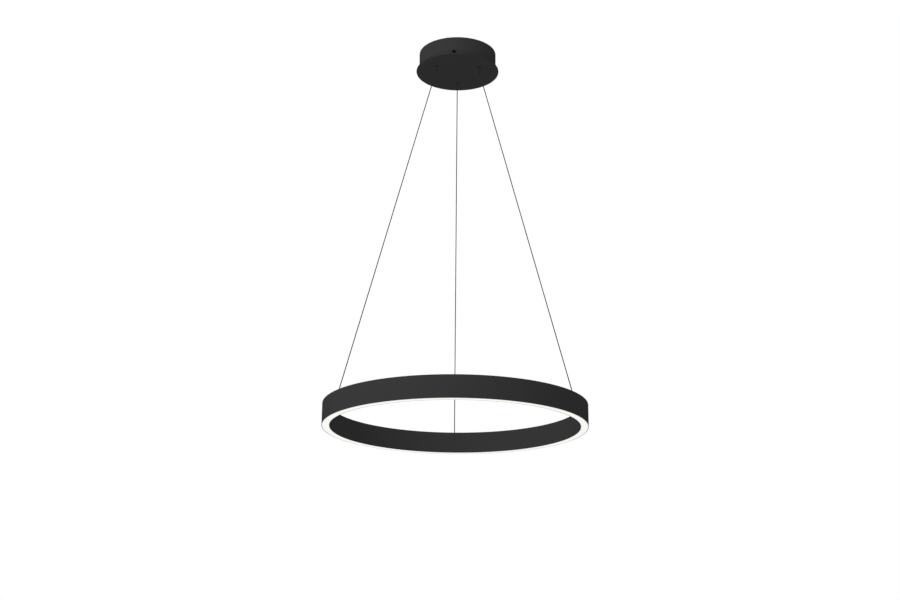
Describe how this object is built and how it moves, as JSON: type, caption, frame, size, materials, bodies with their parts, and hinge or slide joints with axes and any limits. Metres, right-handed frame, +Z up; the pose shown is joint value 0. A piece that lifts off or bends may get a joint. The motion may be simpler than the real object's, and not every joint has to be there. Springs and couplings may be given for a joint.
{
  "type": "led pendant light",
  "caption": "Slim black LED ring with an opal underside, hung level on thin wires from a round ceiling canopy whose self-locking grippers set the hanging height.",
  "frame": {"origin": "centre of the canopy's ceiling face", "axes": "+Z up into the ceiling, +X to the right as pictured, +Y away from the viewer, and the ring hangs below at negative Z"},
  "size_m": [0.6, 0.6, 0.932],
  "materials": {
    "black_coat": "matte black powder coat on steel",
    "black_alloy": "matte black powder coat on aluminium",
    "opal": "opal acrylic, lit warm white from inside",
    "wire_steel": "dark stranded steel wire",
    "black_nylon": "moulded black nylon",
    "grey_rubber": "soft grey rubber",
    "brass": "plain brass",
    "spring_steel": "spring wire",
    "black_steel": "black oxide",
    "white_plastic": "moulded, fine grained",
    "board_green": "solder mask",
    "winding_yellow": "winding tape",
    "film_red": "dipped, glossy",
    "strip_white": "white film",
    "phosphor": "yellow phosphor"
  },
  "bodies": {
    "canopy": {"canopy_can": "black_coat", "canopy_plate": "black_coat", "side_screws": "black_steel", "entry_grommet": "grey_rubber", "driver_case": "white_plastic", "driver_cover": "white_plastic", "driver_board": "board_green", "driver_transformer": "winding_yellow", "driver_capacitor": "film_red", "output_contacts": "brass", "terminal_block": "white_plastic", "supply_lead": "white_plastic", "gripper_body_back": "black_nylon", "gripper_body_left": "black_nylon", "gripper_body_right": "black_nylon", "gripper_cap_back": "black_nylon", "gripper_cap_left": "black_nylon", "gripper_cap_right": "black_nylon", "gripper_spring_back": "spring_steel", "gripper_spring_left": "spring_steel", "gripper_spring_right": "spring_steel", "suspension_wire_back": "wire_steel", "suspension_wire_left": "wire_steel", "suspension_wire_right": "wire_steel"},
    "ring": {"ring_housing": "black_alloy", "ring_diffuser": "opal", "led_strip": "strip_white", "led_chips": "phosphor", "strip_links": "brass", "wire_bushes": "black_nylon", "wire_ferrules": "brass"},
    "plunger_back": {"release_plunger_back": "black_nylon", "gripper_jaws_back": "brass"},
    "plunger_left": {"release_plunger_left": "black_nylon", "gripper_jaws_left": "brass"},
    "plunger_right": {"release_plunger_right": "black_nylon", "gripper_jaws_right": "brass"}
  },
  "joints": [
    {"name": "height_adjust", "type": "slide", "parent": "canopy", "child": "ring", "axis": [0, 0, 1], "range_m": [0, 0.5], "deforming": ["suspension_wire_back", "suspension_wire_left", "suspension_wire_right"]},
    {"name": "release_back", "type": "slide", "parent": "canopy", "child": "plunger_back", "axis": [0, 0, 1], "range_m": [0, 0.0025], "stiffness_N_per_m": 600, "springref_m": -0.004, "deforming": ["gripper_spring_back"]},
    {"name": "release_left", "type": "slide", "parent": "canopy", "child": "plunger_left", "axis": [0, 0, 1], "range_m": [0, 0.0025], "stiffness_N_per_m": 600, "springref_m": -0.004, "deforming": ["gripper_spring_left"]},
    {"name": "release_right", "type": "slide", "parent": "canopy", "child": "plunger_right", "axis": [0, 0, 1], "range_m": [0, 0.0025], "stiffness_N_per_m": 600, "springref_m": -0.004, "deforming": ["gripper_spring_right"]}
  ]
}
